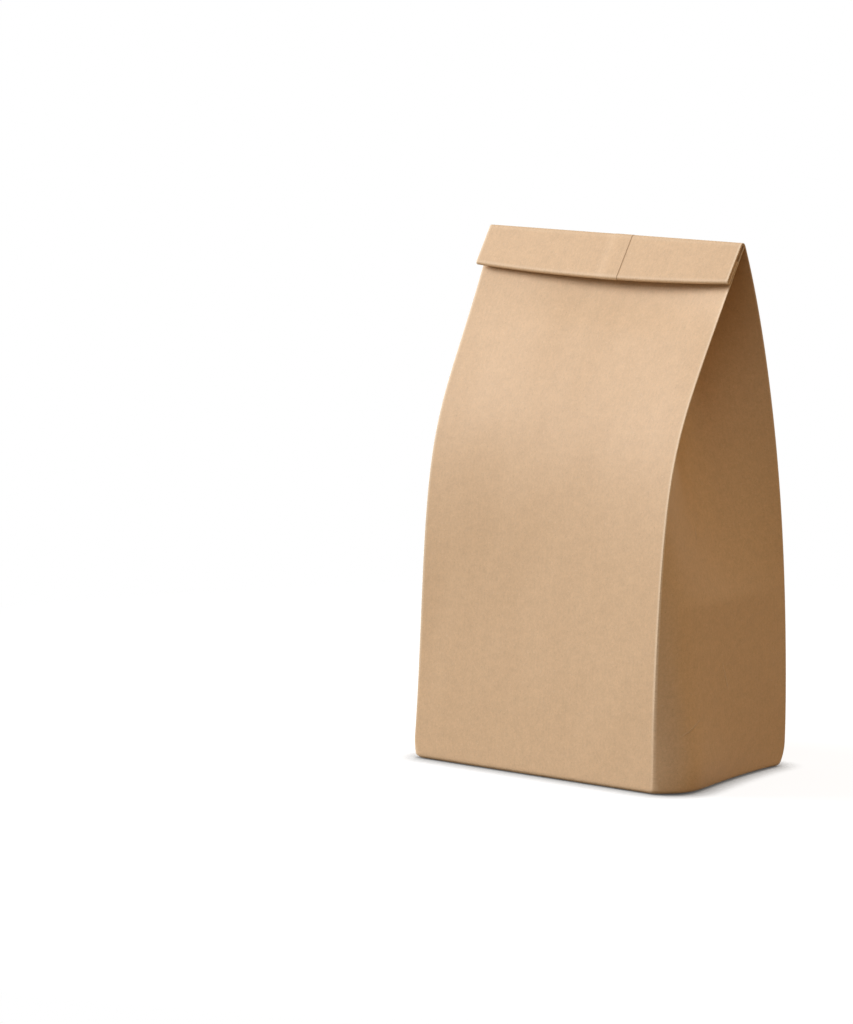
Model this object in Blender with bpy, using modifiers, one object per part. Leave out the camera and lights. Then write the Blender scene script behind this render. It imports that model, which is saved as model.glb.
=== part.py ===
"""A flat-bottomed, side-gusseted bag of brown kraft paper. It stands open at its base, and its top is
pinched flat and rolled forward twice.

The real bag is one folded and glued sheet, so it is one object. The sheet's outside face is lofted from
sections across the bag: up the body, over the ridge, down the flap, round the lip, and up to the mouth,
which lies hidden in the roll. Solidify gives the sheet its thickness, twice that along the lap seam, and
the two glued flaps of the base are joined on below. The bag's weight presses both flat on the table, except
where the front one runs on above the back one.

Metres, +Z up. X runs along the front panel, -Y is the front, and the origin is the base's centre.
"""

import math

import bmesh
import bpy
from mathutils import Matrix, Vector

# The sheet
PANEL_WIDTH = 0.1556
BAG_DEPTH = 0.1048
SHEET_LENGTH = 0.3143
PAPER = 0.00015
INNER_GAP = 0.0003
OUTER_GAP = 0.0003

# The lap seam on the back panel, measured from the panel's middle
SEAM_EDGE = 0.0117
SEAM_LAP = 0.011
SEAM_STEP = 0.0003
SEAM_SLOPE = 0.0012

# The base
BASE_EDGE_RADIUS = 0.0022
BASE_CORNER = 0.0060
BASE_CORNER_HEIGHT = 0.012
BASE_CORNER_STEPS = 3
BASE_LAP = 0.024
BASE_LAP_GAP = 0.0004
BASE_FLAP_MARGIN = 0.0004

# How the body stands
RIDGE_OFFSET = 0.0174
FRONT_BASE_LEAN = math.radians(2.8)
FRONT_TOP_LEAN = math.radians(28.5)
BACK_BASE_LEAN = math.radians(38.0)
BACK_TOP_LEAN = math.radians(28.5)
FRONT_BASE_REACH = 0.190
FRONT_TOP_REACH = 0.123
BACK_BASE_REACH = 0.016
BACK_TOP_REACH = 0.098
WAIST_LOSS = 0.0050
FRONT_BOW = 0.0035
BACK_BOW = 0.0040
FRONT_VALLEY = 0.0040
SIDE_BULGE = 0.0250
FAR_SIDE_BULGE = 0.0025
BULGE_HEIGHT = 0.175
BULGE_ROUND = 0.0110
BULGE_REACH = 1.6
GUSSET_SOFTNESS = 0.018
GUSSET_ONSET = 0.08
FLAT_GUSSET = 0.0005
TOP_TWIST = math.radians(3.0)
TOP_SHIFT = -0.0032

# The roll
FLAP_HEIGHT = 0.0225
FLAP_LEAN = math.radians(37.2)
MOUTH_TUCK = 0.0120
ROLL_GAP = 0.0004
LIP_SAG = 0.0032

# How finely the loft follows the shape
CREASE_STEPS = 4
GUSSET_FOLD_STEPS = 6
FRONT_STEPS = 10
GUSSET_SHARES = (0, 0.03, 0.08, 0.15, 0.30, 0.58, 1)
BODY_STEPS = 16
RIDGE_STEPS = 6
FLAP_STEPS = 3
LIP_STEPS = 6
MOUTH_STEPS = 2
EDGE_STEPS = 3

KRAFT = (0.62, 0.43, 0.26, 1.0)
KRAFT_ROUGHNESS = 0.85

# Layers of the flattened top, as distances from its middle plane to outside faces of the sheet
GUSSET_LAYER = OUTER_GAP / 2
PANEL_LAYER = GUSSET_LAYER + 2 * PAPER + INNER_GAP
CREASE_RADIUS = (PANEL_LAYER - GUSSET_LAYER) / 2
LIP_RADIUS = PANEL_LAYER + ROLL_GAP / 2
RIDGE_RADIUS = LIP_RADIUS + PANEL_LAYER + ROLL_GAP / 2
FLAP_TURN = math.pi - FLAP_LEAN
BACK_RISE = (RIDGE_RADIUS + PANEL_LAYER) / math.cos(BACK_TOP_LEAN) - RIDGE_RADIUS
WALL_TOP = SHEET_LENGTH - FLAP_HEIGHT - MOUTH_TUCK
BASE_LEVEL = 2 * PAPER
BASE_FLAP_INSET = BASE_EDGE_RADIUS + BASE_FLAP_MARGIN


def clear_scene():
    for old in list(bpy.data.objects):
        bpy.data.objects.remove(old, do_unlink=True)


def bezier(points, t):
    a, b, c, d = points
    s = 1 - t
    return s**3 * a + 3 * s * s * t * b + 3 * s * t * t * c + t**3 * d


def wall_curve(start, end, base_lean, base_reach, top_lean, top_reach):
    """A wall's side profile as the four control points (y, z) of a curve."""
    low = start + Vector((math.sin(base_lean), math.cos(base_lean))) * base_reach
    high = end - Vector((math.sin(top_lean), math.cos(top_lean))) * top_reach
    return start, low, high, end


def front_curve(height):
    start = Vector((-BAG_DEPTH / 2, 0))
    end = Vector((RIDGE_OFFSET - PANEL_LAYER, height))
    return wall_curve(start, end, FRONT_BASE_LEAN, FRONT_BASE_REACH, FRONT_TOP_LEAN, FRONT_TOP_REACH)


def back_curve(height):
    start = Vector((BAG_DEPTH / 2, 0))
    end = Vector((RIDGE_OFFSET + BACK_RISE, height))
    return wall_curve(start, end, BACK_BASE_LEAN, BACK_BASE_REACH, -BACK_TOP_LEAN, BACK_TOP_REACH)


def curve_length(points, steps=60):
    places = [bezier(points, i / steps) for i in range(steps + 1)]
    return sum((b - a).length for a, b in zip(places, places[1:]))


def ridge_height():
    """The height at which the front wall's curved length is what the roll leaves of the sheet."""
    height = WALL_TOP
    for _ in range(12):
        height *= WALL_TOP / curve_length(front_curve(height))
    return height


RIDGE_HEIGHT = ridge_height()


def depth_at(points, z):
    """The y of a wall's profile at height z, found by halving."""
    low, high = 0.0, 1.0
    for _ in range(40):
        middle = (low + high) / 2
        if bezier(points, middle)[1] < z:
            low = middle
        else:
            high = middle
    return bezier(points, low)[0]


def tangent(centre, radius, next_centre, next_radius):
    """The direction and length of the straight stretch between two pins of signed radius."""
    gap = next_centre - centre
    step = radius - next_radius
    way = math.atan2(gap.y, gap.x) + math.asin(step / gap.length)
    return way, math.sqrt(gap.length_squared - step * step)


def gusset_pin(crease, corner, width, middle, half_depth):
    """What the middle of a gusset bends round. It lies as deep as the gusset's own paper reaches, and less
    deep low on the bag, where the gusset only starts to fold in."""
    guess = math.sqrt(max((BAG_DEPTH / 2) ** 2 - half_depth**2, FLAT_GUSSET**2))
    radius = GUSSET_LAYER + GUSSET_SOFTNESS * max(0, half_depth - PANEL_LAYER) / guess
    shallow, deep = FLAT_GUSSET / 2, BAG_DEPTH / 2
    for _ in range(40):
        tuck = (shallow + deep) / 2
        centre = Vector((width / 2 - tuck + radius, middle))
        if (centre - crease).length <= radius + corner:
            deep = tuck
            continue
        way, straight = tangent(crease, corner, centre, -radius)
        if straight + radius * (way - math.pi / 2) + corner * way / 2 < BAG_DEPTH / 2:
            shallow = tuck
        else:
            deep = tuck
    spare = max(0.0, 1 - (2 * half_depth / BAG_DEPTH) ** 2)
    tuck = max(FLAT_GUSSET / 2, shallow * math.sqrt(spare / (spare + GUSSET_ONSET)))
    return Vector((width / 2 - tuck + radius, middle)), radius


def fold_pins(width, front, back, rounding):
    """What the section bends round, anticlockwise from the front right crease: (centre, signed radius).
    A positive radius is a crease that points out, and a negative one the fold inside a gusset. Rounding is
    what the base's rounded corners add to the radius of the creases."""
    half_depth = (back - front) / 2
    middle = (back + front) / 2
    corner = rounding + CREASE_RADIUS * (1 + min(1, half_depth / (BAG_DEPTH / 2)))
    crease = Vector((width / 2 - corner, front + corner))
    inner, radius = gusset_pin(crease, corner, width, middle, half_depth)
    right = [(crease, corner), (inner, -radius), (Vector((crease.x, back - corner)), corner)]
    left = [(Vector((-centre.x, centre.y)), size) for centre, size in reversed(right)]
    return right + left


def stretch_shares(kind):
    """How far along a straight stretch its points lie, and how far each stands out of the sheet."""
    if kind == "to_gusset":
        return [(share, 0) for share in GUSSET_SHARES]
    if kind == "from_gusset":
        return [(1 - share, 0) for share in reversed(GUSSET_SHARES)]
    if kind == "front":
        return [(i / FRONT_STEPS, 0) for i in range(FRONT_STEPS + 1)]
    edge = (PANEL_WIDTH / 2 - SEAM_EDGE) / PANEL_WIDTH
    step = edge + SEAM_STEP / PANEL_WIDTH
    lap = edge + SEAM_LAP / PANEL_WIDTH
    slope = lap + SEAM_SLOPE / PANEL_WIDTH
    rest = (1 - slope) / 3
    seam = [(edge, 0), (step, 1), (lap, 1), (slope, 0)]
    return [(0, 0), (edge / 3, 0), (edge * 2 / 3, 0), *seam, (slope + rest, 0), (slope + 2 * rest, 0), (1, 0)]


STRETCHES = ("to_gusset", "from_gusset", "back", "to_gusset", "from_gusset", "front")


def section_loop(width, front, back, rounding=0.0):
    """The closed section as (x, n, panel, lapped) for each point, n being the distance to the back."""
    pins = fold_pins(width, front, back, rounding)
    following = pins[1:] + pins[:1]
    ways = [tangent(*pin, *after)[0] for pin, after in zip(pins, following)]
    loop = []
    for i, ((centre, radius), (next_centre, next_radius)) in enumerate(zip(pins, following)):
        arriving, leaving = ways[i - 1], ways[i]
        turn = (leaving - arriving) % (2 * math.pi)
        steps = CREASE_STEPS
        if radius < 0:
            turn -= 2 * math.pi
            steps = GUSSET_FOLD_STEPS
        for k in range(steps):
            angle = arriving + turn * k / steps
            place = centre + radius * Vector((math.sin(angle), -math.cos(angle)))
            loop.append((place.x, place.y, "fold", 0))
        outward = Vector((math.sin(leaving), -math.cos(leaving)))
        start = centre + radius * outward
        end = next_centre + next_radius * outward
        for share, lapped in stretch_shares(STRETCHES[i])[:-1]:
            place = start.lerp(end, share) + outward * PAPER * lapped
            loop.append((place.x, place.y, STRETCHES[i], lapped))
    return loop


def hump(x, width):
    """One at the middle of a panel and nothing at its creases."""
    return max(0.0, 1 - (2 * x / width) ** 2)


def body_width(z):
    """The panels bow between their creases, which draws the creases together at the waist."""
    return PANEL_WIDTH - WAIST_LOSS * (1 - (2 * z / RIDGE_HEIGHT - 1) ** 4)


def bulge(y, z, front, back):
    """How far a side stands out near its front crease, where the gusset is pushed flat at the base."""
    fade = max(0.0, 1 - z / BULGE_HEIGHT) ** 1.7
    from_crease = max(0.0, y - front)
    reach = max(0.0, 1 - from_crease / (back - front)) ** BULGE_REACH
    return fade * math.tanh(from_crease / BULGE_ROUND) * reach


def body_row(z, inset=0.0, height=None):
    """A level section of the body at height z, drawn in all round by inset and laid at another height."""
    front = depth_at(FRONT_WALL, z) + inset
    back = depth_at(BACK_WALL, z) - inset
    width = body_width(z) - 2 * inset
    share = z / RIDGE_HEIGHT
    front_bow = FRONT_BOW * math.sin(math.pi * min(1, share / 0.8)) ** 2
    valley = FRONT_VALLEY * math.sin(math.pi * min(1, max(0, share / 0.4 - 1.5))) ** 2
    back_bow = BACK_BOW * math.sin(math.pi * share) ** 2
    level = z if height is None else height
    rounding = max(0.0, BASE_CORNER * max(0.0, 1 - level / BASE_CORNER_HEIGHT) ** 2 - inset)
    row = []
    for x, y, kind, lapped in section_loop(width, front, back, rounding):
        if kind == "front":
            y += (valley - front_bow) * hump(x, width)
        elif kind == "back":
            y += back_bow * hump(x, width)
        else:
            side = SIDE_BULGE if x > 0 else -FAR_SIDE_BULGE
            x += side * bulge(y, z, front, back)
        row.append((Vector((x, y, level)), lapped))
    return row


def rolled_row(origin, normal, front, back, sag):
    """A section of the flattened top, in the plane through origin that holds X and normal, both (y, z)."""
    down = Vector((0, -math.sin(FLAP_LEAN), -math.cos(FLAP_LEAN)))
    row = []
    for x, n, _, lapped in section_loop(PANEL_WIDTH, front, back):
        place = Vector((x, *(origin + normal * n)))
        row.append((place + down * LIP_SAG * sag * hump(x, PANEL_WIDTH), lapped))
    return row


def fan(centre, radius, start, end, steps, sag):
    """Rows round a bend across the bag."""
    rows = []
    for k in range(steps + 1):
        angle = start + (end - start) * k / steps
        normal = Vector((math.cos(angle), math.sin(angle)))
        back = PANEL_LAYER
        if angle < BACK_TOP_LEAN:
            back = (radius + PANEL_LAYER) / math.cos(BACK_TOP_LEAN - angle) - radius
        rows.append(rolled_row(centre + normal * radius, normal, -PANEL_LAYER, back, sag))
    return rows


def base_rows():
    """The rounded bottom edge, from the base plane up to the walls."""
    rows = []
    for k in range(EDGE_STEPS):
        angle = math.pi / 2 * (1 - k / EDGE_STEPS)
        inset = BASE_EDGE_RADIUS * (1 - math.cos(angle))
        height = BASE_LEVEL + BASE_EDGE_RADIUS * (1 - math.sin(angle))
        rows.append(body_row(BASE_EDGE_RADIUS, inset, height))
    return rows


def body_rows():
    low = BASE_LEVEL + BASE_EDGE_RADIUS
    heights = [low + (RIDGE_HEIGHT - low) * k / BODY_STEPS for k in range(BODY_STEPS)]
    heights += [BASE_CORNER_HEIGHT / 2, BASE_CORNER_HEIGHT]
    return [body_row(z) for z in sorted(heights)]


def roll_rows():
    """Over the ridge, down the flap, round the lip and up to the mouth."""
    ridge_centre = Vector((RIDGE_OFFSET - RIDGE_RADIUS, RIDGE_HEIGHT))
    rows = fan(ridge_centre, RIDGE_RADIUS, 0, FLAP_TURN, RIDGE_STEPS, 0)
    normal = Vector((math.cos(FLAP_TURN), math.sin(FLAP_TURN)))
    down = Vector((-math.sin(FLAP_LEAN), -math.cos(FLAP_LEAN)))
    top = ridge_centre + normal * RIDGE_RADIUS
    length = FLAP_HEIGHT - RIDGE_RADIUS - LIP_RADIUS - PANEL_LAYER
    for k in range(1, FLAP_STEPS):
        share = k / FLAP_STEPS
        rows.append(rolled_row(top + down * length * share, normal, -PANEL_LAYER, PANEL_LAYER, share))
    lip_centre = top + down * length - normal * LIP_RADIUS
    rows += fan(lip_centre, LIP_RADIUS, FLAP_TURN, FLAP_TURN + math.pi, LIP_STEPS, 1)
    bottom = lip_centre - normal * LIP_RADIUS
    for k in range(1, MOUTH_STEPS + 1):
        reach = MOUTH_TUCK * k / MOUTH_STEPS
        rows.append(rolled_row(bottom - down * reach, -normal, -PANEL_LAYER, PANEL_LAYER, 1))
    return rows


def leaned(place):
    """The bag's top stands a little turned and shifted against its base."""
    share = place.z / RIDGE_HEIGHT
    turned = Matrix.Rotation(TOP_TWIST * share, 3, "Z") @ place
    return turned + Vector((TOP_SHIFT * share, 0, 0))


def sheet_mesh(rows):
    """The outside face of the sheet as an open surface, and the points that lie on the lap seam."""
    shape = bmesh.new()
    lap_points = []
    grid = []
    for row in rows:
        line = []
        for place, lapped in row:
            line.append(shape.verts.new(leaned(place)))
            if lapped:
                lap_points.append(line[-1])
        grid.append(line)
    for low, high in zip(grid, grid[1:]):
        for i in range(len(low)):
            k = (i + 1) % len(low)
            shape.faces.new((low[i], low[k], high[k], high[i]))
    edges = [shape.edges.get((a, b)) for a, b in zip(grid[0], grid[0][1:] + grid[0][:1])]
    bmesh.ops.edgeloop_fill(shape, edges=edges)
    shape.verts.index_update()
    lap = [point.index for point in lap_points]
    bmesh.ops.recalc_face_normals(shape, faces=shape.faces)
    mesh = bpy.data.meshes.new("paper_bag")
    shape.to_mesh(mesh)
    shape.free()
    return mesh, lap


def base_flap(name, side, reach, bottom, cutters):
    """A glued flap of the base: the panel's whole width at its fold, where its corners are as round as the
    base's, and folded at 45 degrees to its tip."""
    fold = BAG_DEPTH / 2 - BASE_FLAP_INSET
    half = PANEL_WIDTH / 2 - BASE_FLAP_INSET
    radius = BASE_CORNER - BASE_FLAP_INSET
    edge = [(half - (reach - BASE_FLAP_INSET), BAG_DEPTH / 2 - reach)]
    for k in range(BASE_CORNER_STEPS + 1):
        angle = math.pi / 4 * (1 + k / BASE_CORNER_STEPS)
        edge.append((half - radius * (1 - math.cos(angle)), fold - radius * (1 - math.sin(angle))))
    outline = [(x, side * y) for x, y in edge] + [(-x, side * y) for x, y in reversed(edge)]
    shape = bmesh.new()
    face = shape.faces.new([shape.verts.new((x, y, bottom)) for x, y in outline])
    thickness = BASE_LEVEL + PAPER / 2 - bottom
    lifted = bmesh.ops.extrude_face_region(shape, geom=[face])["geom"]
    raised = [part for part in lifted if isinstance(part, bmesh.types.BMVert)]
    bmesh.ops.translate(shape, verts=raised, vec=(0, 0, thickness))
    bmesh.ops.recalc_face_normals(shape, faces=shape.faces)
    mesh = bpy.data.meshes.new(name)
    shape.to_mesh(mesh)
    shape.free()
    flap = bpy.data.objects.new(name, mesh)
    flap.display_type = "WIRE"
    flap.hide_render = True
    cutters.objects.link(flap)
    return flap


def kraft_paper():
    material = bpy.data.materials.new("kraft_paper")
    material.use_nodes = True
    shader = material.node_tree.nodes["Principled BSDF"]
    shader.inputs["Base Color"].default_value = KRAFT
    shader.inputs["Roughness"].default_value = KRAFT_ROUGHNESS
    shader.inputs["Metallic"].default_value = 0.0
    return material


def paper_bag(parts, cutters):
    mesh, lap = sheet_mesh(base_rows() + body_rows() + roll_rows())
    bag = bpy.data.objects.new("paper_bag", mesh)
    parts.objects.link(bag)
    bag.data.materials.append(kraft_paper())
    group = bag.vertex_groups.new(name="lap")
    group.add(lap, 1.0, "REPLACE")
    shell = bag.modifiers.new("paper", "SOLIDIFY")
    shell.thickness = 2 * PAPER
    shell.vertex_group = group.name
    shell.thickness_vertex_group = 0.5
    shell.offset = -1
    shell.use_even_offset = True
    shell.use_quality_normals = True
    full_reach = (BAG_DEPTH + BASE_LAP) / 2
    pressed_reach = (BAG_DEPTH - BASE_LAP) / 2 - BASE_LAP_GAP
    front = base_flap("front_base_flap", -1, full_reach, PAPER, cutters)
    pressed = base_flap("front_flap_on_table", -1, pressed_reach, 0, cutters)
    back = base_flap("back_base_flap", 1, full_reach, 0, cutters)
    for flap in (front, pressed, back):
        join = bag.modifiers.new(flap.name, "BOOLEAN")
        join.operation = "UNION"
        join.solver = "EXACT"
        join.object = flap
    return bag


def collection(name):
    made = bpy.data.collections.new(name)
    bpy.context.scene.collection.children.link(made)
    return made


clear_scene()
FRONT_WALL = front_curve(RIDGE_HEIGHT)
BACK_WALL = back_curve(RIDGE_HEIGHT)
paper_bag(collection("paper_bag"), collection("cutters"))
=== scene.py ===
"""The looks of a brown paper bag: its kraft sheet in full detail, the paper's finish, and a plain studio.

The bag stands open at its base, and its top is pinched flat and rolled forward twice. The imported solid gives
the frame, and the sheet made here takes its place. It is lofted from sections across the bag, as the solid
is, with thinner paper, closer layers and finer steps. Its front is hollow, its low right corner curves
under, and it has the slight waves and dents of handled paper.

Metres, +Z up. X runs along the front panel, -Y is the front, and the origin is the base's centre.
"""

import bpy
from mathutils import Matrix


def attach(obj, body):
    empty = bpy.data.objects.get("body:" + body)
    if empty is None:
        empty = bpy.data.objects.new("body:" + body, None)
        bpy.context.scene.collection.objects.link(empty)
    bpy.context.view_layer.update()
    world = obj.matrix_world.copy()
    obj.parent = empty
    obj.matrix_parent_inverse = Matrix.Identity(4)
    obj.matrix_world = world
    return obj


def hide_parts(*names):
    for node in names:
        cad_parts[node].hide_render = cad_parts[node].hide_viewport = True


bl_info = {
    "name": "Rolled Paper Bag",
    "version": (1, 0, 0),
    "blender": (4, 5, 0),
    "location": "3D View > Sidebar > Paper Bag",
    "description": "A gusseted kraft paper bag with a rolled top, and a studio to see it in",
    "category": "Add Mesh",
}

import math
from collections import namedtuple

import bmesh
import bpy
from bpy.props import FloatProperty, FloatVectorProperty, PointerProperty
from mathutils import Matrix, Vector, noise

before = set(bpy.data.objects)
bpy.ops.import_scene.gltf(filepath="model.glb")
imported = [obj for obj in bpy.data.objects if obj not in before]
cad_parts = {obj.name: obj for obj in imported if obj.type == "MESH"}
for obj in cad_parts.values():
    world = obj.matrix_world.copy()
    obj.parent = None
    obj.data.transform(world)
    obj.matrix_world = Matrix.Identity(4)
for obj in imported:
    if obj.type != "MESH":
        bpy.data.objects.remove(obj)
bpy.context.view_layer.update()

# How the body stands, as in the solid
FRONT_BASE_LEAN = math.radians(2.8)
FRONT_TOP_LEAN = math.radians(28.5)
BACK_BASE_LEAN = math.radians(38.0)
BACK_TOP_LEAN = math.radians(28.5)
FRONT_BASE_REACH = 0.190
FRONT_TOP_REACH = 0.123
BACK_BASE_REACH = 0.016
BACK_TOP_REACH = 0.098
FAR_SIDE_BULGE = 0.0025
BULGE_HEIGHT = 0.175
BULGE_FADE = 1.7
BULGE_ROUND = 0.0110
BULGE_REACH = 1.6
GUSSET_SOFTNESS = 0.018
TOP_TWIST = math.radians(3.0)

# Where the sheet goes its own way from the solid: its hollow front, the valley under its flap, its low
# bulge, which curves under behind a sharper crease, its gussets' softer start and its top. The hollow's end
# and the valley's bounds are shares of the ridge's height. The valley's shift makes it deeper on the right.
HOLLOW_END = 0.92
VALLEY_LOW = 0.82
VALLEY_HIGH = 0.99
VALLEY_SHIFT = 0.8
BULGE_UNDER = 0.30
BULGE_UNDER_HEIGHT = 0.018
BULGED_CREASE_KEEPS = 0.75
GUSSET_ONSET = 0.035
FLAT_GUSSET = 0.0003
TOP_SHIFT = -0.0024

# The lap seam and the base, as in the solid
SEAM_LAP = 0.011
SEAM_STEP = 0.0003
SEAM_SLOPE = 0.0012
BASE_LAP_GAP = 0.0004
BASE_FLAP_MARGIN = 0.0004
BASE_CORNER_HEIGHT = 0.012

# Air that keeps the base's flaps off the sheet above them
BASE_FLAP_AIR = 0.00001

# How finely the sheet follows its shape, how many tries find a size, and how near to a fold, to the seam
# and to the corners' rows its points lie
CREASE_STEPS = 6
GUSSET_FOLD_STEPS = 12
PANEL_STEPS = 34
GUSSET_STEPS = 22
EDGE_STEPS = 7
BODY_STEPS = 112
CORNER_ROWS = 9
RIDGE_STEPS = 14
FLAP_STEPS = 16
LIP_STEPS = 12
MOUTH_STEPS = 8
BASE_CORNER_STEPS = 6
WALL_STEPS = 60
HALVINGS = 40
HEIGHT_TRIES = 12
NEAR_FOLD = (0.0006, 0.0014, 0.0028)
SEAM_CLEAR = 0.0012
CORNER_ROW_CLEAR = 0.001

# Rubbed folds, paler partly from wear and partly as a painted highlight along the fold: how far this reaches
# from a fold, and how strong it is. Up the body it grows from the base.
PANEL_RUB_AND_HIGHLIGHT_REACH = NEAR_FOLD[1]
GUSSET_RUB_AND_HIGHLIGHT_REACH = NEAR_FOLD[0]
LOW_RUB_AND_HIGHLIGHT = 0.25
LOW_RUB_AND_HIGHLIGHT_HEIGHT = 0.004
RUB_AND_HIGHLIGHT_GROWTH = 0.070
ROLL_RUB_AND_HIGHLIGHT = 0.25
BASE_EDGE_RUB_AND_HIGHLIGHT = 0.35

# Slow waves of the paper, each as (size across, size along, share of the height, seed), how much of them a
# part of the bag shows, and the lengths over which they fade at a fold, at the base and at the top
WAVES = ((0.055, 0.075, 1.0, 3.1), (0.021, 0.034, 0.30, 7.7), (0.009, 0.013, 0.07, 1.9))
WAVY_PARTS = {"body": 1.0, "flap": 0.25}
WAVE_FADE_AT_FOLD = 0.018
WAVE_FADE_AT_BASE = 0.020
WAVE_FADE_AT_TOP = 0.012

# Short dents of handling on the right side: (middle, turn and length) on the sheet
DENT_WIDTH = 0.0012
DENT_DEPTH = 0.00032
DENT_PALE = 0.22
HANDLING_DENTS = (
    ((0.5716, 0.0554), math.radians(-70.0), 0.0180),
    ((0.5395, 0.0342), math.radians(30.0), 0.0170),
    ((0.5618, 0.1300), math.radians(69.0), 0.0120),
)

# How dark the specks of bark are, and the lap seam's line, which is painted shade in the gap under the lap's
# edge
SPECK_DARK = 0.28
SEAM_SHADE_DARK = 0.95

# The base's grain is taken from a place beside the rest of the sheet
BASE_GRAIN_SHIFT = 1.0

# The studio: the lamp, the floor, the way to the room's open side, and the camera
KEY_PLACE = (-6.48, -3.44, 3.32)
KEY_TARGET = (0.0, 0.0, 0.13)
KEY_SIZE = 3.8
FLOOR_HALF = 6.0
FLOOR_DROP = 0.0002
SHADOW_REACH = 0.012
FLOOR_FADE_START = 0.22
FLOOR_FADE_END = 0.6
OPEN_SIDE_WAY = (-0.55, -0.60, 0.58)
CAMERA_PLACE = (1.87435, -2.33126, 0.55351)
CAMERA_TILT = math.radians(81.8900)
CAMERA_ROLL = math.radians(-0.1584)
CAMERA_TURN = math.radians(40.4826)
SENSOR_WIDTH = 36.0
LENS = 253.224

# A point of a section, and the pins of the front panel's two creases
Station = namedtuple("Station", ("pin", "bend", "share", "across", "lapped", "kind", "near"))
FRONT_CREASES = (0, 5)


class BagSizes(bpy.types.PropertyGroup):
    panel_width: FloatProperty(
        name="Panel Width", description="Width of the front and back panels, fold to fold",
        default=0.1556, min=0.05, unit="LENGTH", subtype="DISTANCE",
    )
    bag_depth: FloatProperty(
        name="Depth", description="Depth of the opened base, and width of a gusset laid flat",
        default=0.1048, min=0.03, unit="LENGTH", subtype="DISTANCE",
    )
    sheet_length: FloatProperty(
        name="Sheet Length", description="Length from the base to the mouth, before the top is rolled",
        default=0.3143, min=0.1, unit="LENGTH", subtype="DISTANCE",
    )
    paper: FloatProperty(
        name="Paper", description="Thickness of the paper",
        default=0.00012, min=0.00005, unit="LENGTH", subtype="DISTANCE",
    )
    layer_gap: FloatProperty(
        name="Layer Gap", description="Air between two layers where the top is flat",
        default=0.00020, min=0.00002, unit="LENGTH", subtype="DISTANCE",
    )
    ridge_offset: FloatProperty(
        name="Ridge Offset", description="How far the ridge stands behind the base's middle",
        default=0.0174, unit="LENGTH", subtype="DISTANCE",
    )
    flap_height: FloatProperty(
        name="Flap Height", description="Height of the rolled flap, along its slope",
        default=0.0230, min=0.008, unit="LENGTH", subtype="DISTANCE",
    )
    flap_lean: FloatProperty(
        name="Flap Lean", description="Angle between the flap and the vertical",
        default=math.radians(34.6), unit="ROTATION", subtype="ANGLE",
    )
    mouth_tuck: FloatProperty(
        name="Mouth Tuck", description="How far the mouth runs up again inside the roll",
        default=0.0120, min=0.002, unit="LENGTH", subtype="DISTANCE",
    )
    lip_sag: FloatProperty(
        name="Lip Sag", description="How much lower the flap's edge hangs at the middle than at its ends",
        default=0.0026, unit="LENGTH", subtype="DISTANCE",
    )
    seam_edge: FloatProperty(
        name="Seam Edge", description="Place of the lap seam's edge, from the back panel's middle",
        default=0.0117, unit="LENGTH", subtype="DISTANCE",
    )
    base_lap: FloatProperty(
        name="Base Lap", description="How far the two glued flaps of the base overlap",
        default=0.024, min=0.004, unit="LENGTH", subtype="DISTANCE",
    )
    base_edge: FloatProperty(
        name="Base Edge", description="Radius of the fold round the base",
        default=0.0022, min=0.0005, unit="LENGTH", subtype="DISTANCE",
    )
    base_corner: FloatProperty(
        name="Base Corner", description="Radius of the base's four corners",
        default=0.0046, min=0.003, unit="LENGTH", subtype="DISTANCE",
    )
    waist: FloatProperty(
        name="Waist", description="How much the creases draw together at half height",
        default=0.0050, unit="LENGTH", subtype="DISTANCE",
    )
    front_hollow: FloatProperty(
        name="Front Hollow", description="How far the front panel hollows in",
        default=0.0020, unit="LENGTH", subtype="DISTANCE",
    )
    back_bow: FloatProperty(
        name="Back Bow", description="How far the back panel bows out",
        default=0.0040, unit="LENGTH", subtype="DISTANCE",
    )
    front_valley: FloatProperty(
        name="Front Valley", description="How far the front sinks under the flap",
        default=0.0026, unit="LENGTH", subtype="DISTANCE",
    )
    side_bulge: FloatProperty(
        name="Side Bulge", description="How far the right side stands out at its front corner",
        default=0.0250, unit="LENGTH", subtype="DISTANCE",
    )
    wave: FloatProperty(
        name="Waves", description="Height of the paper's slow waves",
        default=0.0006, min=0.0, unit="LENGTH", subtype="DISTANCE",
    )


class KraftFinish(bpy.types.PropertyGroup):
    kraft: FloatVectorProperty(
        name="Kraft", description="The paper's own colour",
        default=(0.59, 0.396, 0.223), size=3, min=0.0, max=1.0, subtype="COLOR",
    )
    # Also the colour of the painted highlight along the folds
    pale_fibre_and_highlight: FloatVectorProperty(
        name="Pale Fibre", description="Colour of pale fibres and of rubbed folds",
        default=(0.82, 0.66, 0.47), size=3, min=0.0, max=1.0, subtype="COLOR",
    )
    # Also the colour of the painted shade along the lap seam's line
    bark_speck_and_seam_shade: FloatVectorProperty(
        name="Bark Speck", description="Colour of the dark specks in the pulp",
        default=(0.22, 0.12, 0.055), size=3, min=0.0, max=1.0, subtype="COLOR",
    )
    roughness: FloatProperty(
        name="Roughness", description="Roughness of the paper's face",
        default=0.62, min=0.3, max=1.0, subtype="FACTOR",
    )


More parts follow.
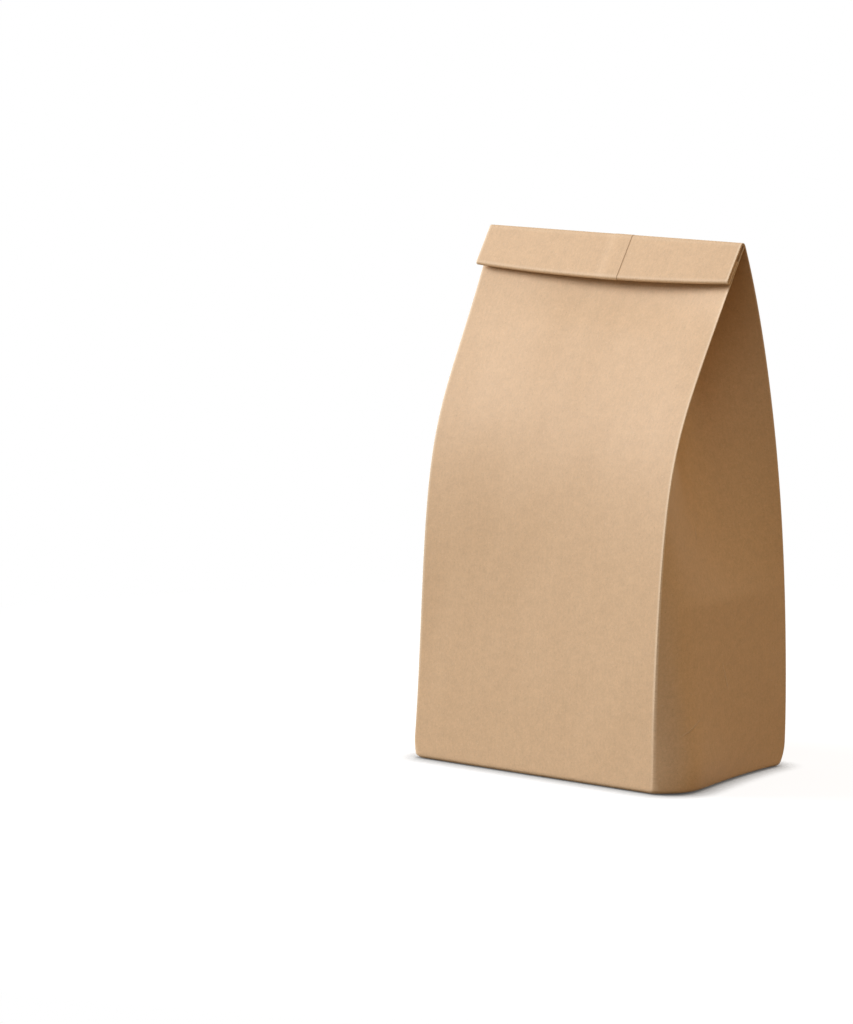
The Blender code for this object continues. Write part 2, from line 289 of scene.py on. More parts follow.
class StudioLight(bpy.types.PropertyGroup):
    key_power: FloatProperty(
        name="Key Power", description="Power of the large soft lamp at the front left",
        default=775.0, min=0.0, unit="POWER",
    )
    sky: FloatProperty(
        name="Sky", description="Strength of the room's light",
        default=0.67, min=0.0,
    )
    daylight: FloatVectorProperty(
        name="Daylight", description="Colour of the room's light from its open side, at the front left",
        default=(0.71, 0.73, 0.80), size=3, min=0.0, max=1.0, subtype="COLOR",
    )
    shade: FloatVectorProperty(
        name="Shade", description="Colour of the room's light on the bag's shaded side",
        default=(1.00, 0.575, 0.12), size=3, min=0.0, max=1.0, subtype="COLOR",
    )
    floor: FloatVectorProperty(
        name="Floor", description="Colour of the floor",
        default=(0.20, 0.20, 0.20), size=3, min=0.0, max=1.0, subtype="COLOR",
    )
    bounce: FloatVectorProperty(
        name="Bounce", description="Colour of the light that the floor throws back on the bag",
        default=(0.21, 0.15, 0.065), size=3, min=0.0, max=1.0, subtype="COLOR",
    )


def bezier(points, t):
    a, b, c, d = points
    s = 1 - t
    return s**3 * a + 3 * s * s * t * b + 3 * s * t * t * c + t**3 * d


def wall_curve(start, end, base_lean, base_reach, top_lean, top_reach):
    """A wall's side profile as the four control points (y, z) of a curve."""
    low = start + Vector((math.sin(base_lean), math.cos(base_lean))) * base_reach
    high = end - Vector((math.sin(top_lean), math.cos(top_lean))) * top_reach
    return start, low, high, end


def curve_length(points):
    places = [bezier(points, i / WALL_STEPS) for i in range(WALL_STEPS + 1)]
    return sum((b - a).length for a, b in zip(places, places[1:]))


def depth_at(points, z):
    """The y of a wall's profile at height z, found by halving."""
    low, high = 0.0, 1.0
    for _ in range(HALVINGS):
        middle = (low + high) / 2
        if bezier(points, middle)[1] < z:
            low = middle
        else:
            high = middle
    return bezier(points, low)[0]


def tangent(centre, radius, next_centre, next_radius):
    """The direction and length of the straight stretch between two pins of signed radius."""
    gap = next_centre - centre
    step = radius - next_radius
    way = math.atan2(gap.y, gap.x) + math.asin(step / gap.length)
    return way, math.sqrt(gap.length_squared - step * step)


def smooth(t):
    """Nothing up to 0, one from 1, and a soft rise between."""
    t = min(1.0, max(0.0, t))
    return t * t * (3 - 2 * t)


class BagForm:
    """The bag's form, worked out once from its sizes."""

    def __init__(self, sizes):
        self.sizes = sizes
        self.gusset_layer = sizes.layer_gap / 2
        self.panel_layer = self.gusset_layer + 2 * sizes.paper + sizes.layer_gap
        self.crease_radius = (self.panel_layer - self.gusset_layer) / 2
        self.lip_radius = self.panel_layer + sizes.layer_gap
        self.ridge_radius = self.lip_radius + self.panel_layer + sizes.layer_gap
        self.flap_turn = math.pi - sizes.flap_lean
        self.back_rise = (self.ridge_radius + self.panel_layer) / math.cos(BACK_TOP_LEAN) - self.ridge_radius
        self.wall_top = sizes.sheet_length - sizes.flap_height - sizes.mouth_tuck
        self.base_level = 2 * sizes.paper
        self.ridge_height = self.wall_top
        for _ in range(HEIGHT_TRIES):
            self.front_wall = self.front_curve()
            self.ridge_height *= self.wall_top / curve_length(self.front_wall)
        self.front_wall = self.front_curve()
        self.back_wall = self.back_curve()
        self.stations = self.sheet_stations()

    def front_curve(self):
        start = Vector((-self.sizes.bag_depth / 2, 0))
        end = Vector((self.sizes.ridge_offset - self.panel_layer, self.ridge_height))
        return wall_curve(start, end, FRONT_BASE_LEAN, FRONT_BASE_REACH, FRONT_TOP_LEAN, FRONT_TOP_REACH)

    def back_curve(self):
        start = Vector((self.sizes.bag_depth / 2, 0))
        end = Vector((self.sizes.ridge_offset + self.back_rise, self.ridge_height))
        return wall_curve(start, end, BACK_BASE_LEAN, BACK_BASE_REACH, -BACK_TOP_LEAN, BACK_TOP_REACH)

    def run_shares(self, kind, length):
        """Where the points of a straight run lie, as (share of its length, lapped), closer near a fold."""
        near = [0.0] + [d / length for d in NEAR_FOLD]
        steps = PANEL_STEPS if kind in ("front", "back") else GUSSET_STEPS
        first, last = near[-1], 1 - near[-1]
        if kind == "from_gusset":
            first = 0.0
        if kind == "to_gusset":
            last = 1.0
        even = [first + (last - first) * k / steps for k in range(steps + 1)]
        shares = even
        if kind != "from_gusset":
            shares = near[:-1] + shares
        if kind != "to_gusset":
            shares = shares + [1 - s for s in reversed(near[:-1])]
        if kind != "back":
            return [(share, 0) for share in shares]
        edge = (length / 2 - self.sizes.seam_edge) / length
        step, lap = edge + SEAM_STEP / length, edge + SEAM_LAP / length
        slope = lap + SEAM_SLOPE / length
        clear = SEAM_CLEAR / length
        free = [s for s in shares if s < edge - clear or s > slope + clear]
        inside = [s for s in shares if step + clear < s < lap - clear]
        marks = [(edge - SEAM_STEP / length, 0), (edge, 0), (step, 1), (step + SEAM_STEP / length, 1)]
        marks += [(s, 1) for s in inside] + [(lap, 1), (slope, 0)]
        return sorted([(s, 0) for s in free] + marks)

    def sheet_stations(self):
        """The points of every section, in order round the tube, starting in the step of the lap seam.
        Each has the pin that it follows, its share of the fold's bend or of the straight run, its place
        across the sheet, whether it is lapped, its kind of run, and its distance from the nearest fold."""
        half = self.sizes.bag_depth / 2
        width = self.sizes.panel_width
        runs = [("to_gusset", half), ("from_gusset", half), ("back", width)]
        runs += [("to_gusset", half), ("from_gusset", half), ("front", width)]
        found = []
        place = 0.0
        for pin, (kind, length) in enumerate(runs):
            kind_of_fold, steps, near = "fold", CREASE_STEPS, 0.0
            if kind == "from_gusset":
                kind_of_fold, steps, near = "gusset_fold", GUSSET_FOLD_STEPS, half
            for k in range(steps):
                across = place + (k / steps - 0.5) * 2 * self.crease_radius
                found.append(Station(pin, k / steps, None, across, 0, kind_of_fold, near))
            for share, lapped in self.run_shares(kind, length)[:-1]:
                near = min(share * length, (1 - share) * length)
                if kind == "to_gusset":
                    near = share * length
                if kind == "from_gusset":
                    near = (1 - share) * length
                found.append(Station(pin, None, share, place + share * length, lapped, kind, near))
            place += length
        first = next(i for i, station in enumerate(found) if station.lapped)
        return found[first:] + [s._replace(across=s.across + place) for s in found[:first]]

    def gusset_pin(self, crease, corner, width, middle, half_depth):
        """What the middle of a gusset bends round. It lies as deep as the gusset's own paper reaches."""
        depth = self.sizes.bag_depth
        guess = math.sqrt(max((depth / 2) ** 2 - half_depth**2, FLAT_GUSSET**2))
        radius = self.gusset_layer + GUSSET_SOFTNESS * max(0, half_depth - self.panel_layer) / guess
        shallow, deep = FLAT_GUSSET / 2, depth / 2
        for _ in range(HALVINGS):
            tuck = (shallow + deep) / 2
            centre = Vector((width / 2 - tuck + radius, middle))
            if (centre - crease).length <= radius + corner:
                deep = tuck
                continue
            way, straight = tangent(crease, corner, centre, -radius)
            if straight + radius * (way - math.pi / 2) + corner * way / 2 < depth / 2:
                shallow = tuck
            else:
                deep = tuck
        spare = max(0.0, 1 - (2 * half_depth / depth) ** 2)
        tuck = max(FLAT_GUSSET / 2, shallow * spare / (spare + GUSSET_ONSET))
        return Vector((width / 2 - tuck + radius, middle)), radius

    def fold_pins(self, width, front, back, rounding):
        """What the section bends round, anticlockwise from the front right crease: (centre, signed radius).
        A positive radius is a crease that points out, and a negative one the fold inside a gusset. Rounding
        is what the base's rounded corners add to the radius of the creases. The bulged side's front crease
        stays sharper than the others."""
        half_depth = (back - front) / 2
        middle = (back + front) / 2
        corner = rounding + self.crease_radius * (1 + min(1, half_depth / (self.sizes.bag_depth / 2)))
        sharp = corner - BULGED_CREASE_KEEPS * rounding
        crease = Vector((width / 2 - sharp, front + sharp))
        inner, radius = self.gusset_pin(crease, sharp, width, middle, half_depth)
        side = width / 2 - corner
        right = [(crease, sharp), (inner, -radius), (Vector((side, back - corner)), corner)]
        left = [(Vector((-side, back - corner)), corner), (Vector((-inner.x, middle)), -radius)]
        return right + left + [(Vector((-side, front + corner)), corner)]

    def section(self, width, front, back, rounding=0.0):
        """The closed section as (x, n) for each station, n being the distance to the back."""
        pins = self.fold_pins(width, front, back, rounding)
        following = pins[1:] + pins[:1]
        ways = [tangent(*pin, *after)[0] for pin, after in zip(pins, following)]
        places = []
        for station in self.stations:
            pin = station.pin
            centre, radius = pins[pin]
            if station.bend is not None:
                turn = (ways[pin] - ways[pin - 1]) % (2 * math.pi)
                if radius < 0:
                    turn -= 2 * math.pi
                angle = ways[pin - 1] + turn * station.bend
                place = centre + radius * Vector((math.sin(angle), -math.cos(angle)))
            else:
                next_centre, next_radius = following[pin]
                outward = Vector((math.sin(ways[pin]), -math.cos(ways[pin])))
                start = centre + radius * outward
                place = start.lerp(next_centre + next_radius * outward, station.share)
                place += outward * self.sizes.paper * station.lapped
            places.append(place)
        return places

    def body_width(self, z):
        """The panels bow between their creases, which draws the creases together at the waist."""
        return self.sizes.panel_width - self.sizes.waist * (1 - (2 * z / self.ridge_height - 1) ** 4)

    def bulge(self, y, z, front, back):
        """How far a side stands out near its front crease, where the gusset is pushed flat at the base."""
        fade = max(0.0, 1 - z / BULGE_HEIGHT) ** BULGE_FADE
        from_crease = max(0.0, y - front)
        reach = max(0.0, 1 - from_crease / (back - front)) ** BULGE_REACH
        return fade * math.tanh(from_crease / BULGE_ROUND) * reach

    def body_row(self, z, inset=0.0, height=None):
        """A level section of the body at height z, drawn in all round by inset, and laid at another height
        where one is given."""
        sizes = self.sizes
        front = depth_at(self.front_wall, z) + inset
        back = depth_at(self.back_wall, z) - inset
        width = self.body_width(z) - 2 * inset
        share = z / self.ridge_height
        hollow = sizes.front_hollow * math.sin(math.pi * min(1, share / HOLLOW_END)) ** 2
        within = (share - VALLEY_LOW) / (VALLEY_HIGH - VALLEY_LOW)
        valley = sizes.front_valley * math.sin(math.pi * min(1, max(0, within))) ** 2
        back_bow = sizes.back_bow * math.sin(math.pi * share) ** 2
        level = z if height is None else height
        rounding = max(0.0, sizes.base_corner * max(0.0, 1 - level / BASE_CORNER_HEIGHT) ** 2 - inset)
        row = []
        for place, station in zip(self.section(width, front, back, rounding), self.stations):
            x, y = place
            if station.kind == "front":
                to_right = 1 + VALLEY_SHIFT * 2 * x / width
                y += (hollow + valley * to_right) * hump(x, width)
            elif station.kind == "back":
                y += back_bow * hump(x, width)
            else:
                side = sizes.side_bulge if x > 0 else -FAR_SIDE_BULGE
                drawn = max(0.0, 1 - level / BULGE_UNDER_HEIGHT) ** 2
                x += side * self.bulge(y, z, front, back) * (1 - BULGE_UNDER * drawn)
            row.append(Vector((x, y, level)))
        return row

    def rolled_row(self, origin, normal, front, back, sag):
        """A section of the flat top, in the plane through origin that holds X and normal, both (y, z)."""
        lean = self.sizes.flap_lean
        down = Vector((0, -math.sin(lean), -math.cos(lean)))
        width = self.sizes.panel_width
        row = []
        for x, n in self.section(width, front, back):
            place = Vector((x, *(origin + normal * n)))
            row.append(place + down * self.sizes.lip_sag * sag * hump(x, width))
        return row

    def fan(self, centre, radius, start, end, steps, sag):
        """Rows round a bend across the bag."""
        rows = []
        for k in range(steps + 1):
            angle = start + (end - start) * k / steps
            normal = Vector((math.cos(angle), math.sin(angle)))
            back = self.panel_layer
            if angle < BACK_TOP_LEAN:
                back = (radius + self.panel_layer) / math.cos(BACK_TOP_LEAN - angle) - radius
            rows.append(self.rolled_row(centre + normal * radius, normal, -self.panel_layer, back, sag))
        return rows

    def rows(self):
        """Every section from the base plane to the mouth, as (points, place along the sheet, part)."""
        sizes = self.sizes
        edge = sizes.base_edge
        found = []
        for k in range(EDGE_STEPS):
            angle = math.pi / 2 * (1 - k / EDGE_STEPS)
            height = self.base_level + edge * (1 - math.sin(angle))
            found.append((self.body_row(edge, edge * (1 - math.cos(angle)), height), -edge * angle, "edge"))
        low = self.base_level + edge
        heights = [low + (self.ridge_height - low) * k / BODY_STEPS for k in range(1, BODY_STEPS)]
        heights = [z for z in heights if z > BASE_CORNER_HEIGHT + CORNER_ROW_CLEAR]
        heights += [low + (BASE_CORNER_HEIGHT - low) * k / CORNER_ROWS for k in range(CORNER_ROWS + 1)]
        for z in sorted(heights):
            found.append((self.body_row(z), self.wall_top * z / self.ridge_height, "body"))
        centre = Vector((sizes.ridge_offset - self.ridge_radius, self.ridge_height))
        along = self.wall_top
        fanned = self.fan(centre, self.ridge_radius, 0, self.flap_turn, RIDGE_STEPS, 0)
        bend = self.ridge_radius * self.flap_turn
        found += [(row, along + bend * k / RIDGE_STEPS, "ridge") for k, row in enumerate(fanned)]
        along += bend
        normal = Vector((math.cos(self.flap_turn), math.sin(self.flap_turn)))
        down = Vector((-math.sin(sizes.flap_lean), -math.cos(sizes.flap_lean)))
        top = centre + normal * self.ridge_radius
        length = sizes.flap_height - self.ridge_radius - self.lip_radius - self.panel_layer
        for k in range(1, FLAP_STEPS):
            share = k / FLAP_STEPS
            place = top + down * length * share
            row = self.rolled_row(place, normal, -self.panel_layer, self.panel_layer, share)
            found.append((row, along + length * share, "flap"))
        along += length
        lip = top + down * length - normal * self.lip_radius
        fanned = self.fan(lip, self.lip_radius, self.flap_turn, self.flap_turn + math.pi, LIP_STEPS, 1)
        bend = self.lip_radius * math.pi
        found += [(row, along + bend * k / LIP_STEPS, "lip") for k, row in enumerate(fanned)]
        along += bend
        bottom = lip - normal * self.lip_radius
        for k in range(1, MOUTH_STEPS + 1):
            reach = sizes.mouth_tuck * k / MOUTH_STEPS
            row = self.rolled_row(bottom - down * reach, -normal, -self.panel_layer, self.panel_layer, 1)
            found.append((row, along + reach, "mouth"))
        return found

    def across_sheet(self, row):
        """Where each point of a section lies across the sheet. In a gusset it follows the paper's length."""
        found = [station.across for station in self.stations]
        inside = ["gusset" in station.kind for station in self.stations]
        first = 0
        while first < len(row):
            last = first
            while inside[last]:
                last += 1
            if last > first:
                steps = [(b - a).length for a, b in zip(row[first:last], row[first + 1:last + 1])]
                scale = (found[last] - found[first]) / sum(steps)
                for k, step in enumerate(steps[:-1]):
                    found[first + k + 1] = found[first + k] + step * scale
            first = last + 1
        return found

    def leaned(self, place):
        """The bag's top stands a little turned and shifted against its base."""
        share = place.z / self.ridge_height
        turned = Matrix.Rotation(TOP_TWIST * share, 3, "Z") @ place
        return turned + Vector((TOP_SHIFT * share, 0, 0))


def hump(x, width):
    """One at the middle of a panel and nothing at its creases."""
    return max(0.0, 1 - (2 * x / width) ** 2)


def waves(across, along, height):
    """How far the paper's slow waves lift a place on the sheet."""
    found = 0.0
    for wide, tall, share, seed in WAVES:
        found += share * noise.noise(Vector((across / wide, along / tall, seed)))
    return height * found


def fold_rub_and_highlight(station, along, part):
    """How rubbed the paper is here, from nothing to one; its paleness stands partly for wear and partly for a
    painted highlight along the fold. The front's creases lie inside the roll.
    """
    on_wall = part in ("edge", "body")
    reach = GUSSET_RUB_AND_HIGHLIGHT_REACH if station.kind in ("to_gusset", "from_gusset") else PANEL_RUB_AND_HIGHLIGHT_REACH
    rub_and_highlight = max(0.0, 1 - station.near / reach)
    if on_wall:
        rub_and_highlight *= LOW_RUB_AND_HIGHLIGHT + (1 - LOW_RUB_AND_HIGHLIGHT) * smooth((along - LOW_RUB_AND_HIGHLIGHT_HEIGHT) / RUB_AND_HIGHLIGHT_GROWTH)
    elif station.kind == "front" or station.pin in FRONT_CREASES:
        rub_and_highlight = 0.0
    # The roll's bends and the base's fold are paled too: partly wear, partly painted highlight
    if part in ("ridge", "lip"):
        rub_and_highlight = max(rub_and_highlight, ROLL_RUB_AND_HIGHLIGHT)
    if part == "edge":
        rub_and_highlight = max(rub_and_highlight, BASE_EDGE_RUB_AND_HIGHLIGHT)
    return rub_and_highlight


def sheet_points(shape, form):
    """The sheet's points row by row, with their rub (wear and painted highlight) and their seam mark (painted
    shade), their places, and those on the lap seam.
    """
    rub_and_highlight_layer = shape.verts.layers.float.new("rub_and_highlight")
    seam_shade_layer = shape.verts.layers.float.new("seam")
    grid, places, lap_points = [], {}, []
    for row, along, part in form.rows():
        line = []
        for point, station, across in zip(row, form.stations, form.across_sheet(row)):
            vert = shape.verts.new(form.leaned(point))
            vert[rub_and_highlight_layer] = fold_rub_and_highlight(station, along, part)
            # The seam mark carries the painted shade along the lap's edge
            vert[seam_shade_layer] = 1.0 if station is form.stations[0] else 0.0
            places[vert] = (across, along, station.near, part)
            line.append(vert)
            if station.lapped:
                lap_points.append(vert)
        grid.append(line)
    return grid, places, lap_points


def sheet_faces(shape, uv_layer, grid, places):
    """The faces between the rows and those that close the base, each point with its place on the sheet."""
    for low, high in zip(grid, grid[1:]):
        for i in range(len(low)):
            k = (i + 1) % len(low)
            face = shape.faces.new((low[i], low[k], high[k], high[i]))
            face.smooth = True
            for loop in face.loops:
                across, along = places[loop.vert][:2]
                if k == 0 and loop.vert in (low[0], high[0]):
                    across = places[low[i]][0] + SEAM_STEP
                loop[uv_layer].uv = (across, along)
    edges = [shape.edges.get((a, b)) for a, b in zip(grid[0], grid[0][1:] + grid[0][:1])]
    for face in bmesh.ops.edgeloop_fill(shape, edges=edges)["faces"]:
        face.smooth = False
        for loop in face.loops:
            loop[uv_layer].uv = (loop.vert.co.x + BASE_GRAIN_SHIFT, loop.vert.co.y)


def wave_sheet(form, places):
    """Move the points by the paper's slow waves, less near folds, the base and the top."""
    moves = {}
    for vert, (across, along, near, part) in places.items():
        if part in WAVY_PARTS:
            height = form.sizes.wave * WAVY_PARTS[part] * smooth(near / WAVE_FADE_AT_FOLD)
            if part == "body":
                height *= smooth(along / WAVE_FADE_AT_BASE)
                height *= smooth((form.wall_top - along) / WAVE_FADE_AT_TOP)
            moves[vert] = vert.normal * waves(across, along, height)
    for vert, move in moves.items():
        vert.co += move


def sheet_mesh(form):
    """The sheet's outside face as an open surface, and which of its points lie on the lap seam."""
    shape = bmesh.new()
    uv_layer = shape.loops.layers.uv.new("sheet")
    grid, places, lap_points = sheet_points(shape, form)
    sheet_faces(shape, uv_layer, grid, places)
    bmesh.ops.recalc_face_normals(shape, faces=shape.faces)
    shape.normal_update()
    wave_sheet(form, places)
    shape.verts.index_update()
    lap = [vert.index for vert in lap_points]
    mesh = bpy.data.meshes.new("paper_bag_sheet")
    shape.to_mesh(mesh)
    shape.free()
    return mesh, lap


def base_flap_shape(shape, form, side, reach):
    """A glued flap of the base, on the table: the panel's whole width at its fold, where its corners are as
    round as the base's, and folded at 45 degrees to its tip."""
    sizes = form.sizes
    inset = sizes.base_edge + BASE_FLAP_MARGIN
    fold = sizes.bag_depth / 2 - inset
    half = sizes.panel_width / 2 - inset
    radius = sizes.base_corner - inset
    edge = [(half - (reach - inset), sizes.bag_depth / 2 - reach)]
    for k in range(BASE_CORNER_STEPS + 1):
        angle = math.pi / 4 * (1 + k / BASE_CORNER_STEPS)
        edge.append((half - radius * (1 - math.cos(angle)), fold - radius * (1 - math.sin(angle))))
    outline = [(x, side * y) for x, y in edge] + [(-x, side * y) for x, y in reversed(edge)]
    face = shape.faces.new([shape.verts.new((x, y, 0)) for x, y in outline])
    lifted = bmesh.ops.extrude_face_region(shape, geom=[face])["geom"]
    raised = [item for item in lifted if isinstance(item, bmesh.types.BMVert)]
    bmesh.ops.translate(shape, verts=raised, vec=(0, 0, 2 * sizes.paper - BASE_FLAP_AIR))


def base_flaps(form):
    """The base's two flaps as thin closed plates just below the sheet. The front one's end, which lies
    hidden on the back one, is left out."""
    sizes = form.sizes
    shape = bmesh.new()
    base_flap_shape(shape, form, -1, (sizes.bag_depth - sizes.base_lap) / 2 - BASE_LAP_GAP)
    base_flap_shape(shape, form, 1, (sizes.bag_depth + sizes.base_lap) / 2)
    bmesh.ops.recalc_face_normals(shape, faces=shape.faces)
    mesh = bpy.data.meshes.new("base_flaps")
    shape.to_mesh(mesh)
    shape.free()
    return mesh


def folded_bag(sizes):
    """The whole sheet as one closed thin shell, with the base's flaps joined to its mesh. The shell is two
    papers thick at the lap seam and one elsewhere."""
    form = BagForm(sizes)
    mesh, lap = sheet_mesh(form)
    bag = bpy.data.objects.new("paper_bag_sheet", mesh)
    bpy.context.scene.collection.objects.link(bag)
    group = bag.vertex_groups.new(name="lap")
    group.add(lap, 1.0, "REPLACE")
    shell = bag.modifiers.new("paper", "SOLIDIFY")
    shell.thickness = 2 * sizes.paper
    shell.vertex_group = group.name
    shell.thickness_vertex_group = 0.5
    shell.offset = -1
    shell.use_even_offset = True
    shell.use_quality_normals = True
    depsgraph = bpy.context.evaluated_depsgraph_get()
    solid = bpy.data.meshes.new_from_object(bag.evaluated_get(depsgraph), depsgraph=depsgraph)
    bag.modifiers.clear()
    bag.vertex_groups.clear()
    joined = bmesh.new()
    joined.from_mesh(solid)
    joined.from_mesh(base_flaps(form))
    joined.to_mesh(solid)
    joined.free()
    bag.data = solid
    solid.name = "paper_bag_sheet"
    return bag


class Nodes:
    """Short calls for building the node tree of a material or a world."""

    def __init__(self, owner):
        owner.use_nodes = True
        self.tree = owner.node_tree
        self.tree.nodes.clear()

    def add(self, kind, inputs=None, **settings):
        node = self.tree.nodes.new(kind)
        for name, value in settings.items():
            setattr(node, name, value)
        for name, value in (inputs or {}).items():
            socket = node.inputs[name]
            if isinstance(value, bpy.types.NodeSocket):
                self.tree.links.new(value, socket)
            else:
                socket.default_value = value
        return node

    def maths(self, operation, a, b=0.0):
        node = self.add("ShaderNodeMath", {0: a, 1: b}, operation=operation)
        return node.outputs[0]

    def mix(self, factor, a, b, blend="MIX"):
        node = self.add("ShaderNodeMix", data_type="RGBA", blend_type=blend)
        for name, value in (("Factor", factor), ("A", a), ("B", b)):
            socket = next(s for s in node.inputs if s.name == name and s.enabled)
            if isinstance(value, bpy.types.NodeSocket):
                self.tree.links.new(value, socket)
            elif socket.type == "RGBA":
                socket.default_value = (*value, 1.0)
            else:
                socket.default_value = value
        return next(s for s in node.outputs if s.enabled)

    def stretch(self, sheet, across, along):
        inputs = {"Vector": sheet, "Scale": (across, along, 1.0)}
        return self.add("ShaderNodeMapping", inputs, vector_type="POINT").outputs[0]

    def grain(self, sheet, across, along, detail=1.0, roughness=0.5):
        """Noise with about so many grains to a metre across and along the sheet."""
        place = self.stretch(sheet, across, along)
        inputs = {"Vector": place, "Scale": 1.0, "Detail": detail, "Roughness": roughness}
        return self.add("ShaderNodeTexNoise", inputs).outputs[0]

    def levels(self, value, low, high, to_low=0.0, to_high=1.0):
        """The value, taken from the range low to high into another one and held inside it."""
        inputs = {"Value": value, "From Min": low, "From Max": high, "To Min": to_low, "To Max": to_high}
        return self.add("ShaderNodeMapRange", inputs, clamp=True).outputs[0]


def short_dent(n, sheet, middle, turn, length):
    """One along a short thin line on the sheet, and nothing off it."""
    inputs = {"Vector": sheet, "Location": (*middle, 0.0), "Rotation": (0.0, 0.0, turn)}
    local = n.add("ShaderNodeMapping", inputs, vector_type="TEXTURE").outputs[0]
    place = n.add("ShaderNodeSeparateXYZ", {0: local}).outputs
    along = n.levels(n.maths("ABSOLUTE", place[0]), length / 4, length / 2, 1.0, 0.0)
    across = n.levels(n.maths("ABSOLUTE", place[1]), 0.0, DENT_WIDTH / 2, 1.0, 0.0)
    return n.maths("MULTIPLY", along, across)


def handling_dents(n, sheet):
    dents = 0.0
    for middle, turn, length in HANDLING_DENTS:
        dents = n.maths("MAXIMUM", dents, short_dent(n, sheet, middle, turn, length))
    return dents


def bark_specks(n, sheet):
    """One on the dark specks in the pulp, which a few cells of a fine pattern hold."""
    inputs = {"Vector": n.stretch(sheet, 420.0, 330.0), "Scale": 1.0, "Randomness": 1.0}
    cell = n.add("ShaderNodeTexVoronoi", inputs, voronoi_dimensions="2D").outputs
    near = n.levels(cell["Distance"], 0.05, 0.11, 1.0, 0.0)
    lot = n.add("ShaderNodeSeparateColor", {"Color": cell["Color"]}).outputs[0]
    return n.maths("MULTIPLY", near, n.levels(lot, 0.80, 0.86))


def pulp_tone(n, sheet, cloud, fine):
    """The pulp's slight changes of tone, as a grey about one. Each grain has its low level and its swing."""
    mottle = n.grain(sheet, 720.0, 520.0)
    ribs = n.grain(sheet, 900.0, 12.0)
    tone = 1.0
    grains = ((cloud, 0.3, 0.045), (mottle, 0.3, 0.042), (fine, 0.3, 0.060), (ribs, 0.35, 0.010))
    for grain, low, swing in grains:
        tone = n.maths("ADD", n.levels(grain, low, 1 - low, -swing, swing), tone)
    return n.add("ShaderNodeCombineColor", {0: tone, 1: tone, 2: tone}).outputs[0]


def pulp_colour(n, finish, sheet, cloud, fine, fibre):
    """Kraft with its tone, its pale and dark fibres along and across, and its specks."""
    pale, bark = tuple(finish.pale_fibre_and_highlight), tuple(finish.bark_speck_and_seam_shade)
    cross_fibre = n.grain(sheet, 500.0, 2400.0)
    colour = n.mix(1.0, tuple(finish.kraft), pulp_tone(n, sheet, cloud, fine), "MULTIPLY")
    colour = n.mix(n.levels(fibre, 0.62, 0.78, 0.0, 0.35), colour, pale)
    colour = n.mix(n.levels(cross_fibre, 0.64, 0.80, 0.0, 0.25), colour, pale)
    colour = n.mix(n.levels(fibre, 0.22, 0.36, 0.16, 0.0), colour, bark)
    return n.mix(n.maths("MULTIPLY", bark_specks(n, sheet), SPECK_DARK), colour, bark)


def worn_highlit_and_shaded_colour(n, finish, colour, fine, dents):
    """The paper's colour with its pale dents, its rubbed folds, paler partly from wear and partly as a painted
    highlight, and the dark line of the lap seam, which is painted shade in the gap under the lap's edge.
    """
    rub_and_highlight = n.add("ShaderNodeAttribute", attribute_name="rub_and_highlight").outputs["Fac"]
    seam = n.add("ShaderNodeAttribute", attribute_name="seam").outputs["Fac"]
    colour = n.mix(n.maths("MULTIPLY", dents, DENT_PALE), colour, tuple(finish.pale_fibre_and_highlight))
    # Folds paled, partly as wear and partly as a painted highlight
    rub_and_highlight_amount = n.maths("MULTIPLY", rub_and_highlight, n.levels(fine, 0.25, 0.65, 0.35, 0.9))
    colour = n.mix(rub_and_highlight_amount, colour, tuple(finish.pale_fibre_and_highlight))
    # The lap seam's line darkened: painted shade in the gap under the lap's edge
    return n.mix(n.maths("MULTIPLY", seam, SEAM_SHADE_DARK), colour, tuple(finish.bark_speck_and_seam_shade))


def paper_relief(n, cloud, fine, fibre, dents):
    """The fine relief of the paper's face, and the dents in it."""
    height = n.maths("ADD", n.maths("MULTIPLY", fine, 0.6), n.maths("MULTIPLY", fibre, 0.5))
    height = n.maths("ADD", height, n.maths("MULTIPLY", cloud, 0.8))
    face = n.add("ShaderNodeBump", {"Height": height, "Strength": 0.35, "Distance": 0.00006}).outputs[0]
    return n.add("ShaderNodeBump", {"Height": dents, "Distance": DENT_DEPTH, "Normal": face}).outputs[0]


def kraft_paper(finish):
    """Brown kraft: cloudy pulp, pale and dark fibres, bark specks, rubbed folds and a few dents."""
    material = bpy.data.materials.new("kraft_paper")
    n = Nodes(material)
    sheet = n.add("ShaderNodeUVMap", uv_map="sheet").outputs[0]
    cloud = n.grain(sheet, 170.0, 170.0, 3.0, 0.55)
    fine = n.grain(sheet, 1600.0, 1200.0, 2.0, 0.6)
    fibre = n.grain(sheet, 2600.0, 420.0, 2.0, 0.55)
    dents = handling_dents(n, sheet)
    colour = pulp_colour(n, finish, sheet, cloud, fine, fibre)
    inputs = {
        "Base Color": worn_highlit_and_shaded_colour(n, finish, colour, fine, dents),
        "Roughness": n.levels(fine, 0.3, 0.7, finish.roughness - 0.06, finish.roughness + 0.06),
        "Metallic": 0.0,
        "Specular IOR Level": 0.65,
        "Normal": paper_relief(n, cloud, fine, fibre, dents),
    }
    shader = n.add("ShaderNodeBsdfPrincipled", inputs)
    n.add("ShaderNodeOutputMaterial", {"Surface": shader.outputs[0]})
    return material


def seen_directly(n):
    """One for a ray from the camera, a reflection or something clear, and nothing for light on the bag."""
    path = n.add("ShaderNodeLightPath").outputs
    shown = n.maths("MAXIMUM", path["Is Camera Ray"], path["Is Glossy Ray"])
    return n.maths("MAXIMUM", shown, path["Is Transmission Ray"])


